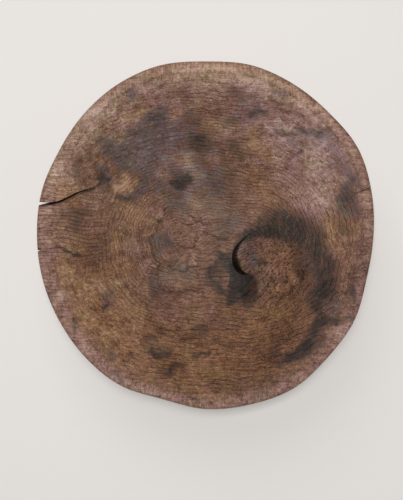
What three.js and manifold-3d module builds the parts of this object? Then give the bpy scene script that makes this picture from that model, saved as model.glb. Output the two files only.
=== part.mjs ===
// A hand-finished bowl carved from one block of burl wood. It has a thick uneven rim, a drying
// split through its left wall, a short check opposite, a chip in the edge, and a knot in the
// floor with a crescent crevice beside it. Millimetres, +Z up, the grain of the block along X.
// The origin is the middle of the flat foot, which is the only face that the bowl rests on.
import * as THREE from 'three';
import Module from 'manifold-3d';

const wasm = await Module();
wasm.setup();

// Body of the bowl: the mean rim circle, the height to the top of the rim and the flat foot
const RIM_RADIUS = 156;
const HEIGHT = 92;
const FOOT_RADIUS = 52;
const FOOT_EDGE = 2.5;
const FLOOR_THICKNESS = 18;

// How far the outside steepens from the foot to the rim, in degrees
const OUTER_TURN = 46;
// How the inside rises: 1 is a cone, 2 a parabola, more a flatter floor
const INNER_RISE = 2.5;
// How much the inside eases off again towards the lip, and how close to the lip it does
const INNER_FLARE = 0.3;
const INNER_FLARE_EDGE = 8;

// How far the rim stands out from its mean circle, every 15 degrees from +X, anticlockwise
const RIM_OFFSETS = [
  -3.5, 0, 3.5, 2, 3, 4, 2, 4, 3, 0.5, -2, -1.5,
  -2.5, -2.5, -2, -0.5, 0.5, -2.5, 1.5, 2.5, 4, 0.5, -0.5, -4.5,
];
// How far the top of the rim dips below the full height, every 45 degrees
const RIM_DIPS = [1.5, 0.5, 0, 0.8, 2, 1.2, 0.2, 0.6];
// Width of the lip on plan, every 45 degrees
const LIP_WIDTHS = [13, 12, 12, 13, 16, 15, 17, 21];
// Height of the rounded outside of the lip, and how square it is: 2 is an ellipse
const LIP_ROUNDING = 7;
const LIP_SQUARENESS = 2.5;
// The inner half of the lip is worn down by this much at its edge, mostly close to the edge
const LIP_WEAR = 2.5;
const LIP_WEAR_EDGE = 3;

// Cracks and chip in the rim. Each route goes inwards, as [mm in from the edge, degrees]. The
// mouth is how much wider it starts, the depth is below the inside or the inner edge of the lip,
// and the lean is how far aside the bottom lies.
const SPLIT = {
  route: [[-6, 170], [8, 169], [18, 167.5], [26, 164.5], [33, 161], [42, 157]],
  width: 3.2,
  mouth: 2.5,
  depth: 16,
  lean: 3,
};
const CHECK = {
  route: [[-6, 16.5], [2, 16.3], [15, 16]],
  width: 1.4,
  mouth: 1.5,
  depth: 9,
  lean: 1,
};
const CHIP = {
  route: [[-6, 185.5], [0, 185.2], [4, 184.5]],
  width: 5,
  mouth: 0,
  depth: 8,
  lean: 0,
};
// The mouth closes over this share of the route
const MOUTH_SHARE = 0.3;

// Knot in the floor: its middle, the swell that it makes, the lump that stands over the crevice,
// and the hollow beside it
const KNOT_MIDDLE = new THREE.Vector2(63, -25);
const KNOT_SWELL_RADIUS = 38;
const KNOT_SWELL_HEIGHT = 4;
const LUMP_MIDDLE = new THREE.Vector2(41, -20);
const LUMP_RADIUS = 13;
const LUMP_HEIGHT = 2.5;
const HOLLOW_MIDDLE = new THREE.Vector2(40, -44);
const HOLLOW_RADIUS = 20;
const HOLLOW_DEPTH = 4.5;

// Crescent crevice round the lump: its route on plan, from its fine upper end
const CREVICE_ROUTE = [
  [51, 6.5],
  [43, 2.5],
  [35, -4.5],
  [29.5, -13],
  [28.5, -22],
  [31, -30.5],
  [36.5, -35.5],
  [43, -37],
];
const CREVICE_WIDTH = 8;
const CREVICE_DEPTH = 11;
// Over 1 moves the widest place of the crevice towards its end
const CREVICE_LEAN = 1.6;
// How far into its swelling the crevice's cutter starts and ends, so that its tips have a width
const CREVICE_TIP = 0.04;

// Number of steps round the bowl, along each curve and along each crack
const STEPS_ROUND = 96;
const STEPS_OUTER = 12;
const STEPS_LIP = 6;
const STEPS_WORN = 3;
const STEPS_INNER = 14;
const STEPS_CRACK = 10;
const STEPS_CREVICE = 21;

// Cutters reach this far above the surface that they cut
const CUT_CLEARANCE = 8;
// A crack's cutter keeps this share of its width at this share of its depth
const CRACK_WAIST_WIDTH = 0.7;
const CRACK_WAIST_DEPTH = 0.55;

const FULL_TURN = 2 * Math.PI;
const QUARTER_TURN = Math.PI / 2;
const { degToRad, euclideanModulo, lerp } = THREE.MathUtils;

// A smooth closed curve through values measured at equal steps round the bowl
function around(values) {
  const stations = values.map((value) => new THREE.Vector3(value, 0, 0));
  const curve = new THREE.CatmullRomCurve3(stations, true, 'catmullrom');
  return (angle) => curve.getPoint(euclideanModulo(angle / FULL_TURN, 1)).x;
}

const rimOffset = around(RIM_OFFSETS);
const rimDip = around(RIM_DIPS);
const lipWidth = around(LIP_WIDTHS);

const rimRadius = (angle) => RIM_RADIUS + rimOffset(angle);
const rimHeight = (angle) => HEIGHT - rimDip(angle);
const wallTop = (angle) => rimHeight(angle) - LIP_ROUNDING;
const innerTop = (angle) => rimHeight(angle) - LIP_WEAR;
const innerRadius = (angle) => rimRadius(angle) - lipWidth(angle);

// A swell of height 1 in its middle that fades to nothing at its radius
function swell(point, middle, radius) {
  const reach = Math.min(point.distanceTo(middle) / radius, 1);
  return (1 - reach ** 2) ** 2;
}

// How far the floor stands above its plain curve round the knot
function knotRelief(point) {
  const raised = KNOT_SWELL_HEIGHT * swell(point, KNOT_MIDDLE, KNOT_SWELL_RADIUS);
  const lump = LUMP_HEIGHT * swell(point, LUMP_MIDDLE, LUMP_RADIUS);
  const sunk = HOLLOW_DEPTH * swell(point, HOLLOW_MIDDLE, HOLLOW_RADIUS);
  return raised + lump - sunk;
}

// A point on plan, at a distance from the axis in a direction
const onPlan = (radius, angle) => new THREE.Vector2(radius * Math.cos(angle), radius * Math.sin(angle));

// Height of the inside at a point on plan
function insideHeight(point) {
  const angle = Math.atan2(point.y, point.x);
  const reach = Math.min(point.length() / innerRadius(angle), 1);
  const rise = lerp(reach ** INNER_FLARE_EDGE, reach ** INNER_RISE, 1 + INNER_FLARE);
  return lerp(FLOOR_THICKNESS, innerTop(angle), rise) + knotRelief(point);
}

// Outside of the bowl in one direction, as [radius, height]: an arc from the foot to the lip
function outerWall(angle) {
  const rise = new THREE.Vector2(rimRadius(angle) - FOOT_RADIUS, wallTop(angle));
  const turn = degToRad(OUTER_TURN);
  const start = rise.angle() - turn / 2;
  const arcRadius = rise.length() / (2 * Math.sin(turn / 2));
  return Array.from({ length: STEPS_OUTER }, (_, step) => {
    const slope = start + (turn * (step + 1)) / STEPS_OUTER;
    return [
      FOOT_RADIUS + arcRadius * (Math.sin(slope) - Math.sin(start)),
      arcRadius * (Math.cos(start) - Math.cos(slope)),
    ];
  });
}

// Lip in one direction: its rounded outer half, then its worn inner half
function lip(angle) {
  const half = lipWidth(angle) / 2;
  const middle = rimRadius(angle) - half;
  const rounded = Array.from({ length: STEPS_LIP }, (_, step) => {
    const turn = (QUARTER_TURN * (step + 1)) / STEPS_LIP;
    const across = half * Math.cos(turn) ** (2 / LIP_SQUARENESS);
    return [middle + across, wallTop(angle) + LIP_ROUNDING * Math.sin(turn) ** (2 / LIP_SQUARENESS)];
  });
  const worn = Array.from({ length: STEPS_WORN }, (_, step) => {
    const share = (step + 1) / (STEPS_WORN + 1);
    return [middle - half * share, rimHeight(angle) - LIP_WEAR * share ** LIP_WEAR_EDGE];
  });
  return [...rounded, ...worn];
}

// Inside of the bowl in one direction, from the lip to just short of the axis
function innerWall(angle) {
  return Array.from({ length: STEPS_INNER }, (_, step) => {
    const radius = innerRadius(angle) * (1 - step / STEPS_INNER);
    return [radius, insideHeight(onPlan(radius, angle))];
  });
}

// A closed skin through rings of points, from one end point to the other. Each ring turns
// anticlockwise as seen from the end that it leads to.
function skin(start, rings, end) {
  const count = rings[0].length;
  const vertices = [start, ...rings.flat(), end];
  const last = vertices.length - 1;
  const triangles = [];
  const at = (ring, step) => 1 + ring * count + (step % count);
  for (let step = 0; step < count; step += 1) {
    triangles.push(0, at(0, step + 1), at(0, step));
    triangles.push(last, at(rings.length - 1, step), at(rings.length - 1, step + 1));
    for (let ring = 0; ring < rings.length - 1; ring += 1) {
      triangles.push(at(ring, step), at(ring, step + 1), at(ring + 1, step + 1));
      triangles.push(at(ring, step), at(ring + 1, step + 1), at(ring + 1, step));
    }
  }
  return new THREE.BufferGeometry().setFromPoints(vertices).setIndex(triangles);
}

// The whole bowl before it cracked
function bowlSkin() {
  const directions = Array.from({ length: STEPS_ROUND }, (_, step) => (FULL_TURN * step) / STEPS_ROUND);
  const sections = directions.map((angle) => [
    [FOOT_RADIUS - FOOT_EDGE, 0],
    ...outerWall(angle),
    ...lip(angle),
    ...innerWall(angle),
  ]);
  const rings = sections[0].map((_, place) => sections.map((section, step) => {
    const [radius, height] = section[place];
    const point = onPlan(radius, directions[step]);
    return new THREE.Vector3(point.x, point.y, height);
  }));
  const floorMiddle = insideHeight(new THREE.Vector2(0, 0));
  return skin(new THREE.Vector3(0, 0, 0), rings, new THREE.Vector3(0, 0, floorMiddle));
}

// A cutter that follows a curve on plan. Across the curve it is a wedge with bowed sides, whose
// bottom leans aside: shape gives its width and its depth at each share of the way along.
function cutter(curve, steps, lean, shape) {
  const rings = Array.from({ length: steps }, (_, step) => {
    const share = step / steps;
    const point = curve.getPoint(share);
    const ahead = curve.getTangent(share);
    const { width, depth } = shape(share);
    const low = insideHeight(point) - depth;
    const high = insideHeight(point) + CUT_CLEARANCE;
    const waist = lerp(high, low, CRACK_WAIST_DEPTH);
    const place = (aside, height) => new THREE.Vector3(
      point.x - ahead.y * aside,
      point.y + ahead.x * aside,
      height,
    );
    return [
      place(lean, low),
      place(lean * CRACK_WAIST_DEPTH + (width * CRACK_WAIST_WIDTH) / 2, waist),
      place(width / 2, high),
      place(-width / 2, high),
      place(lean * CRACK_WAIST_DEPTH - (width * CRACK_WAIST_WIDTH) / 2, waist),
    ];
  });
  const tip = (share) => {
    const point = curve.getPoint(share);
    return new THREE.Vector3(point.x, point.y, insideHeight(point));
  };
  return skin(tip(0), rings, tip(1));
}

// A crack or chip that starts outside the rim and closes inwards
function rimCrack({ route, width, mouth, depth, lean }) {
  const points = route.map(([inset, degrees]) => {
    const angle = degToRad(degrees);
    return onPlan(rimRadius(angle) - inset, angle);
  });
  return cutter(new THREE.SplineCurve(points), STEPS_CRACK, lean, (share) => ({
    width: width * Math.sqrt(1 - share) + mouth * Math.max(1 - share / MOUTH_SHARE, 0) ** 2,
    depth,
  }));
}

// A crevice that opens out and deepens along its route, and then closes again
function crevice() {
  const fullness = (share) => {
    const place = lerp(CREVICE_TIP, 1 - CREVICE_TIP, share ** CREVICE_LEAN);
    return Math.sin(Math.PI * place);
  };
  const points = CREVICE_ROUTE.map(([x, y]) => new THREE.Vector2(x, y));
  return cutter(new THREE.SplineCurve(points), STEPS_CREVICE, 0, (share) => ({
    width: CREVICE_WIDTH * fullness(share),
    depth: CREVICE_DEPTH * fullness(share),
  }));
}

// A closed geometry as a solid that can be cut
function toSolid(geometry) {
  return new wasm.Manifold(new wasm.Mesh({
    numProp: 3,
    vertProperties: geometry.attributes.position.array,
    triVerts: new Uint32Array(geometry.index.array),
  }));
}

// A cut solid as geometry that can be drawn
function toGeometry(solid) {
  const { vertProperties, triVerts } = solid.getMesh();
  const geometry = new THREE.BufferGeometry();
  geometry.setAttribute('position', new THREE.BufferAttribute(vertProperties, 3));
  geometry.setIndex(new THREE.BufferAttribute(triVerts, 1));
  geometry.computeVertexNormals();
  return geometry;
}

// The bowl, with its cracks, chip and crevice cut out
function makeBowl() {
  const cutters = [rimCrack(SPLIT), rimCrack(CHECK), rimCrack(CHIP), crevice()];
  const solid = cutters.reduce((body, cut) => body.subtract(toSolid(cut)), toSolid(bowlSkin()));
  const wood = new THREE.MeshStandardMaterial({ color: 0x7a5a44, roughness: 0.6, metalness: 0 });
  const bowl = new THREE.Mesh(toGeometry(solid), wood);
  bowl.name = 'bowl';
  return bowl;
}

const part = new THREE.Group();
part.add(makeBowl());

export default part;
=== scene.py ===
# Dresses the carved bowl of burl wood: a fine mesh of the solid's form with its cracks, the stained
# and weathered wood, a plain pale floor, soft light, and the camera straight above the bowl.
import math

import bmesh
import bpy
import numpy as np
from mathutils import Color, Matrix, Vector, noise


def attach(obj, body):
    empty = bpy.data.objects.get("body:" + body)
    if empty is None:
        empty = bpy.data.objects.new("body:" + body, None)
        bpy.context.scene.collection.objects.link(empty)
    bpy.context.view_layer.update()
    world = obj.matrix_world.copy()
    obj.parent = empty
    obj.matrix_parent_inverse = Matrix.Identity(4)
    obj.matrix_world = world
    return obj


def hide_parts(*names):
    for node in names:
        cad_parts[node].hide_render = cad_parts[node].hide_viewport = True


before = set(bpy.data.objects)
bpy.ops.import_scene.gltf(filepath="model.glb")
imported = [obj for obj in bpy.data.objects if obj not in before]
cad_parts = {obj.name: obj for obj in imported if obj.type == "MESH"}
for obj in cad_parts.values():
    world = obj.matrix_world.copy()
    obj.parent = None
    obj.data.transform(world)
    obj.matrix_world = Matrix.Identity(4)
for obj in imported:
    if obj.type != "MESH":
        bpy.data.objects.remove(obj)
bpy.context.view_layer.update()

# Lengths below are in millimetres, and the finished meshes are scaled to metres
MM = 0.001
FULL_TURN = 2 * math.pi

# Body of the bowl, as in the solid
RIM_RADIUS = 156
HEIGHT = 92
FOOT_RADIUS = 52
FOOT_EDGE = 2.5
FLOOR_THICKNESS = 18
OUTER_TURN = 46
INNER_RISE = 2.5
INNER_FLARE = 0.3
INNER_FLARE_EDGE = 8
RIM_OFFSETS = [
    -3.5, 0, 3.5, 2, 3, 4, 2, 4, 3, 0.5, -2, -1.5,
    -2.5, -2.5, -2, -0.5, 0.5, -2.5, 1.5, 2.5, 4, 0.5, -0.5, -4.5,
]
RIM_DIPS = [1.5, 0.5, 0, 0.8, 2, 1.2, 0.2, 0.6]
LIP_WIDTHS = [13, 12, 12, 13, 16, 15, 17, 21]
LIP_ROUNDING = 7
LIP_SQUARENESS = 2.5
LIP_WEAR = 2.5
LIP_WEAR_EDGE = 3

# Knot, lump, hollow and crevice in the floor, as in the solid
KNOT_MIDDLE = np.array([63, -25])
KNOT_SWELL_RADIUS = 38
KNOT_SWELL_HEIGHT = 4
LUMP_MIDDLE = np.array([41, -20])
LUMP_RADIUS = 13
LUMP_HEIGHT = 2.5
HOLLOW_MIDDLE = np.array([40, -44])
HOLLOW_RADIUS = 20
HOLLOW_DEPTH = 4.5
CREVICE_ROUTE = [
    (51, 6.5), (43, 2.5), (35, -4.5), (29.5, -13), (28.5, -22), (31, -30.5), (36.5, -35.5), (43, -37),
]
CREVICE_WIDTH = 8
CREVICE_DEPTH = 11
CREVICE_LEAN = 1.6
CREVICE_TIP = 0.04

# Cracks and chip in the rim, as in the solid. Routes go inwards, as (mm in from the edge, degrees).
SPLIT = {
    "route": [(-6, 170), (8, 169), (18, 167.5), (26, 164.5), (33, 161), (42, 157)],
    "width": 3.2,
    "mouth": 2.5,
    "depth": 16,
    "lean": 3,
}
CHECK = {"route": [(-6, 16.5), (2, 16.3), (15, 16)], "width": 1.4, "mouth": 1.5, "depth": 9, "lean": 1}
CHIP = {"route": [(-6, 185.5), (0, 185.2), (4, 184.5)], "width": 5, "mouth": 0, "depth": 8, "lean": 0}
MOUTH_SHARE = 0.3
CUT_CLEARANCE = 8
WAIST_WIDTH = 0.7
WAIST_DEPTH = 0.55

# Number of steps round the bowl, along each stretch of its section, and along a crack or line
STEPS_ROUND = 540
STEPS_FOOT = 5
STEPS_OUTER = 44
STEPS_LIP = 12
STEPS_WORN = 8
STEPS_INNER = 112
STEPS_ROUTE = 60

# Unevenness and tool marks of hand work: how deep, how wide, and the seed of their noise
UNEVENNESS = [(1.1, 42, 1), (0.35, 13, 2)]
# They start over this height above the foot
UNEVEN_FOOT = (0, 10)
# The outline keeps this share of them, and they grow to the full over this way in from there
UNEVEN_RIM = 0.3
UNEVEN_RIM_WIDTH = 8
# How far each seed shifts the noise
SEED_SHIFT = (17.3, 5.1, 9.7)
# Keeps a division from being by nothing
TINY = 1e-9


def spline(before, here, after, beyond, share):
    """A Catmull-Rom curve: the point at a share of the way from here to after."""
    slope = after - before
    bend = 2 * before - 5 * here + 4 * after - beyond
    twist = 3 * here - before - 3 * after + beyond
    return here + (slope * share + bend * share ** 2 + twist * share ** 3) / 2


def around(values):
    """A smooth closed curve through values at equal steps round the bowl, as a function of angle."""
    knots = np.array(values, float)

    def at(angle):
        place = np.mod(angle / FULL_TURN, 1) * len(knots)
        step = np.floor(place).astype(int)
        share = place - step
        near = (knots[(step + shift) % len(knots)] for shift in (-1, 0, 1, 2))
        return spline(*near, share)

    return at


rim_offset = around(RIM_OFFSETS)
rim_dip = around(RIM_DIPS)
lip_width = around(LIP_WIDTHS)


def rim_radius(angle):
    return RIM_RADIUS + rim_offset(angle)


def rim_height(angle):
    return HEIGHT - rim_dip(angle)


def inner_radius(angle):
    return rim_radius(angle) - lip_width(angle)


def lerp(start, end, share):
    return start + (end - start) * share


def smoothstep(low, high, value):
    share = np.clip((value - low) / (high - low), 0, 1)
    return share * share * (3 - 2 * share)


def cloud(points, size, seed):
    """Smooth noise between about -1 and 1 at each point, with lumps of the given size."""
    shift = Vector([seed * step for step in SEED_SHIFT])
    return np.array([noise.noise(Vector(point) / size + shift) for point in points])


def swell(xy, middle, radius):
    """1 at the middle, falling smoothly to nothing at the radius."""
    reach = np.minimum(np.linalg.norm(xy - middle, axis=-1) / radius, 1)
    return (1 - reach ** 2) ** 2


def knot_relief(xy):
    """How far the floor stands above its plain curve round the knot."""
    raised = KNOT_SWELL_HEIGHT * swell(xy, KNOT_MIDDLE, KNOT_SWELL_RADIUS)
    lump = LUMP_HEIGHT * swell(xy, LUMP_MIDDLE, LUMP_RADIUS)
    sunk = HOLLOW_DEPTH * swell(xy, HOLLOW_MIDDLE, HOLLOW_RADIUS)
    return raised + lump - sunk


def inside_height(xy):
    """Height of the inside of the bowl at points on plan."""
    angle = np.arctan2(xy[..., 1], xy[..., 0])
    reach = np.minimum(np.linalg.norm(xy, axis=-1) / inner_radius(angle), 1)
    rise = lerp(reach ** INNER_FLARE_EDGE, reach ** INNER_RISE, 1 + INNER_FLARE)
    return lerp(FLOOR_THICKNESS, rim_height(angle) - LIP_WEAR, rise) + knot_relief(xy)


def bowl_sections(angle):
    """Radius and height along the section in each direction, from the foot to the middle of the floor."""
    wall_top = rim_height(angle) - LIP_ROUNDING
    half_lip = lip_width(angle) / 2
    lip_middle = rim_radius(angle) - half_lip
    level = np.zeros_like(angle)
    places = []
    for step in range(STEPS_FOOT):
        places.append((level + (FOOT_RADIUS - FOOT_EDGE) * (step + 1) / STEPS_FOOT, level))
    out = rim_radius(angle) - FOOT_RADIUS
    turn = math.radians(OUTER_TURN)
    start = np.arctan2(wall_top, out) - turn / 2
    arc_radius = np.hypot(out, wall_top) / (2 * math.sin(turn / 2))
    for step in range(STEPS_OUTER):
        slope = start + turn * (step + 1) / STEPS_OUTER
        radius = FOOT_RADIUS + arc_radius * (np.sin(slope) - np.sin(start))
        places.append((radius, arc_radius * (np.cos(start) - np.cos(slope))))
    for step in range(STEPS_LIP):
        turn = math.pi / 2 * (step + 1) / STEPS_LIP
        across = max(math.cos(turn), 0) ** (2 / LIP_SQUARENESS)
        up = math.sin(turn) ** (2 / LIP_SQUARENESS)
        places.append((lip_middle + half_lip * across, wall_top + LIP_ROUNDING * up))
    for step in range(STEPS_WORN):
        share = (step + 1) / (STEPS_WORN + 1)
        wear = LIP_WEAR * share ** LIP_WEAR_EDGE
        places.append((lip_middle - half_lip * share, rim_height(angle) - wear))
    for step in range(STEPS_INNER):
        radius = inner_radius(angle) * (1 - step / STEPS_INNER)
        xy = np.stack([radius * np.cos(angle), radius * np.sin(angle)], -1)
        places.append((radius, inside_height(xy)))
    radii, heights = zip(*places)
    return np.array(radii), np.array(heights)


def skin(name, start, rings, end):
    """A closed mesh object through rings of points, from one end point to the other."""
    ring_count, count = rings.shape[:2]
    points = np.concatenate([[start], rings.reshape(-1, 3), [end]])
    here = 1 + np.arange(ring_count)[:, None] * count + np.arange(count)[None, :]
    after = np.roll(here, -1, axis=1)
    quads = np.stack([here[:-1], after[:-1], after[1:], here[1:]], -1).reshape(-1, 4)
    faces = quads.tolist()
    faces += [(0, b, a) for a, b in zip(here[0].tolist(), after[0].tolist())]
    faces += [(len(points) - 1, a, b) for a, b in zip(here[-1].tolist(), after[-1].tolist())]
    mesh = bpy.data.meshes.new(name)
    mesh.from_pydata((points * MM).tolist(), [], faces)
    thing = bpy.data.objects.new(name, mesh)
    bpy.context.collection.objects.link(thing)
    return thing


def surface_normals(points):
    """Outward unit normals of a closed grid of points, ring by ring."""
    along = np.gradient(points, axis=0)
    across = np.roll(points, -1, axis=1) - np.roll(points, 1, axis=1)
    normals = np.cross(across, along)
    return normals / np.maximum(np.linalg.norm(normals, axis=-1, keepdims=True), TINY)


def bowl_body():
    """The bowl before it cracked, with the slight unevenness of hand work."""
    angle = FULL_TURN * np.arange(STEPS_ROUND) / STEPS_ROUND
    radii, heights = bowl_sections(angle)
    points = np.stack([radii * np.cos(angle), radii * np.sin(angle), heights], -1)
    flat = points.reshape(-1, 3)
    fall = sum(deep * (1 + cloud(flat, size, seed)) / 2 for deep, size, seed in UNEVENNESS)
    off_foot = smoothstep(*UNEVEN_FOOT, heights)
    off_outline = lerp(UNEVEN_RIM, 1, smoothstep(0, UNEVEN_RIM_WIDTH, rim_radius(angle) - radii))
    points -= surface_normals(points) * (fall.reshape(heights.shape) * off_foot * off_outline)[..., None]
    middle = points[-1].mean(axis=0)
    return skin("burl_bowl", (0, 0, 0), points, middle)


def cutter(name, plan, lean, shape):
    """A wedge with bowed sides along points on plan, whose bottom leans aside.

    shape gives its width and its depth at each share of the way along.
    """
    ahead = np.gradient(plan, axis=0)
    ahead /= np.linalg.norm(ahead, axis=1, keepdims=True)
    aside = np.stack([-ahead[:, 1], ahead[:, 0]], -1)
    width, depth = shape(np.linspace(0, 1, len(plan)))
    surface = inside_height(plan)
    low = surface - depth
    high = surface + CUT_CLEARANCE
    waist = lerp(high, low, WAIST_DEPTH)
    corners = [
        (np.full(len(plan), lean), low),
        (lean * WAIST_DEPTH + width * WAIST_WIDTH / 2, waist),
        (width / 2, high),
        (-width / 2, high),
        (lean * WAIST_DEPTH - width * WAIST_WIDTH / 2, waist),
    ]
    rings = np.stack([np.column_stack([plan + aside * side[:, None], up]) for side, up in corners], axis=1)
    return skin(name, (*plan[0], surface[0]), rings[:-1], (*plan[-1], surface[-1]))


def smooth_route(points):
    """A smooth open curve through points on plan."""
    points = np.asarray(points, float)
    first = 2 * points[0] - points[1]
    last = 2 * points[-1] - points[-2]
    knots = np.concatenate([[first], points, [last]])
    place = np.linspace(0, len(points) - 1, STEPS_ROUTE + 1)
    step = np.minimum(place.astype(int), len(points) - 2)
    share = (place - step)[:, None]
    near = (knots[step + shift] for shift in range(4))
    return spline(*near, share)


def rim_route(route):
    """Points on plan of a route that goes inwards from the edge."""
    inset, degrees = np.array(route, float).T
    angle = np.radians(degrees)
    radius = rim_radius(angle) - inset
    return smooth_route(np.stack([radius * np.cos(angle), radius * np.sin(angle)], -1))


def rim_crack(name, route, width, mouth, depth, lean):
    """A crack or chip that starts outside the rim and closes inwards."""

    def shape(share):
        opening = width * np.sqrt(1 - share) + mouth * np.maximum(1 - share / MOUTH_SHARE, 0) ** 2
        return opening, depth

    return cutter(name, rim_route(route), lean, shape)


def crevice_route():
    """Points on plan of the crescent crevice, from its fine end."""
    return smooth_route(CREVICE_ROUTE)


def crevice():
    """The crescent crevice round the knot."""

    def shape(share):
        fullness = np.sin(math.pi * lerp(CREVICE_TIP, 1 - CREVICE_TIP, share ** CREVICE_LEAN))
        return CREVICE_WIDTH * fullness, CREVICE_DEPTH * fullness

    return cutter("crevice_cut", crevice_route(), 0, shape)


def drop_flakes(mesh):
    """Dissolves points with only two edges, whose faces would turn into flat double flakes."""
    form = bmesh.new()
    form.from_mesh(mesh)
    between = [point for point in form.verts if len(point.link_edges) == 2]
    bmesh.ops.dissolve_verts(form, verts=between)
    form.to_mesh(mesh)
    form.free()


def cut(body, tools):
    """Cuts the tools out of the body for good, and removes them."""
    for tool in tools:
        modifier = body.modifiers.new(tool.name, "BOOLEAN")
        modifier.operation = "DIFFERENCE"
        modifier.solver = "MANIFOLD"
        modifier.object = tool
    evaluated = body.evaluated_get(bpy.context.evaluated_depsgraph_get())
    body.data = bpy.data.meshes.new_from_object(evaluated)
    body.modifiers.clear()
    drop_flakes(body.data)
    for tool in tools:
        bpy.data.objects.remove(tool)


# Stains and washes, as bands on plan: strength in percent, radius or radii, and places along it
DARK_STAINS = [
    # Ring round the knot
    (90, [4, 6, 7], (50, 4), (60, 5), (70, 6)),
    (75, [7, 11, 11, 8], (57, 12), (66, 16), (80, 14), (90, 9)),
    (60, [8, 9], (66, 8), (78, 6)),
    (55, [9, 10, 8], (88, 6), (98, 0), (102, -8)),
    (40, [7, 9, 7], (86, -4), (92, -14), (90, -24)),
    (45, [6, 7], (103, -16), (114, -22)),
    (55, [9, 9, 8], (106, -28), (112, -38), (110, -48)),
    (45, [8, 8, 7], (108, -48), (103, -58), (102, -66)),
    (35, 6, (101, -64), (102, -76)),
    (65, [5, 4, 3], (104, -78), (110, -77), (118, -76)),
    (45, 6, (100, -82), (94, -92), (92, -99)),
    (75, [5, 5, 4], (92, -99), (85, -107), (76, -111)),
    # Crescent, and the hollow below it: dark wood, with painted shade deep in the crevice and the hollow
    (60, [4, 4, 4, 4, 5, 5], (50, 5), (43, 3), (35, -3), (29, -12), (26, -20), (27, -29)),
    (50, 4, (47, 2), (42, -3)),
    (100, 4, (29, -30), (34, -36), (41, -39)),
    (85, [6, 7], (36, -40), (38, -47)),
    (60, 4, (46, -40), (46, -48)),
    (80, [3, 4], (28, -36), (28, -47)),
    (65, 5, (25, -54), (23, -62)),
    (45, [8, 7], (36, -55), (42, -61)),
    (85, [4, 5], (16, -22), (24, -26)),
    (40, 5, (13, -12), (18, -17)),
    (45, [4, 4, 4, 5], (8, -26), (3, -36), (6, -46), (14, -52)),
    (30, [7, 6], (14, -22), (18, -32)),
    (50, [12, 11], (35, -42), (37, -54)),
    (40, [2, 2, 2, 3], (9, -26), (6, -38), (12, -46), (18, -50)),
    (60, 3, (51, -24), (57, -25)),
    (35, [3, 4], (42, -8), (47, -20)),
    # Upper half
    (50, [8, 10], (-12, 91), (-2, 90)),
    (50, 4, (-9, 86), (-4, 92)),
    (20, 6, (8, 88), (24, 87)),
    (40, [5, 4], (28, 85), (33, 76)),
    (35, [7, 8], (2, 57), (16, 51)),
    (25, 7, (28, 62), (30, 42)),
    (40, 2, (18, 80), (19, 72)),
    (35, [7, 8], (-30, 52), (-20, 54)),
    (100, 4, (-27, 51), (-20, 52), (-15, 56)),
    (30, 3, (-28, 60), (-34, 65)),
    (20, 6, (-50, 112), (-42, 106)),
    (45, [4, 6], (-41, 117), (-47, 109)),
    (25, 3, (-34, 130), (-14, 128)),
    (45, [5, 6], (-16, 110), (-6, 109)),
    (40, 5, (25, 132), (34, 126)),
    (40, [5, 4], (22, 108), (30, 107)),
    (50, 4, (44, 113), (52, 113)),
    (40, 2, (42, 149), (44, 144)),
    (40, 3, (62, 121), (72, 122)),
    # Right wall
    (35, 2, (69, 96), (78, 92)),
    (30, 2, (88, 96), (100, 93), (112, 94)),
    (50, 2, (74, 111), (84, 110)),
    (40, [1.5, 2, 1.5], (91, 93), (103, 93), (113, 96)),
    (40, 2, (75, 96), (88, 99)),
    (50, 2, (82, 75), (90, 76)),
    (30, 6, (130, 38), (128, 28)),
    (25, [9, 8], (133, 42), (134, 18)),
    (40, [6, 5], (100, -84), (104, -95)),
    (30, 7, (92, -36), (90, -46)),
    (20, 7, (124, 64), (131, 52)),
    (35, 5, (122, 18), (128, 4)),
    (45, 3, (117, -77), (127, -74), (133, -73)),
    (25, 3, (132, -46), (133, -58)),
    (40, 2, (140, -24), (147, -25)),
    # Left wall
    (70, [1.2, 1.2, 1], (-116, 38), (-102, 44), (-88, 52)),
    (40, 6, (-130, 18), (-114, 22), (-120, 8)),
    (45, [4, 3], (-114, 68), (-116, 62)),
    (40, 4, (-107, 76), (-103, 68)),
    (40, 5, (-98, 86), (-88, 80)),
    (40, 4, (-117, 56), (-112, 48)),
    (50, [5, 5, 4], (-96, 54), (-91, 46), (-94, 40)),
    (60, 4, (-83, 36), (-70, 35)),
    (80, 1.5, (-134, -10), (-124, -14), (-115, -19)),
    (25, [5, 6], (-114, -2), (-104, -12)),
    (30, 5, (-112, -20), (-106, -26)),
    (55, 2, (-93, -66), (-88, -62)),
    (45, [2, 3], (-119, -77), (-116, -88)),
    (40, 3, (-88, -106), (-84, -112)),
    # Lower wall
    (15, 4, (-52, -102), (-34, -106)),
    (60, [2, 2.5, 3], (-49, -107), (-42, -110), (-34, -109)),
    (65, 3, (-31, -120), (-23, -118)),
    (50, [3, 2, 2], (-41, -123), (-36, -126), (-30, -124)),
    (60, 2, (-11, -110), (4, -108)),
    (40, 3, (-10, -86), (0, -88)),
    (40, [4, 3], (-54, -94), (-47, -97)),
    (35, 3, (-20, -96), (0, -92)),
    (25, 3, (60, -94), (74, -96)),
    (40, 5, (64, -106), (68, -118)),
    (30, 4, (28, -134), (36, -133)),
    (35, 2, (8, -100), (40, -101)),
    # Middle
    (40, [3, 4, 4], (-50, -34), (-50, -46), (-47, -56)),
    (30, 5, (-50, -60), (-36, -66)),
    (35, [5, 4], (-36, -5), (-30, -10)),
]
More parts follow.
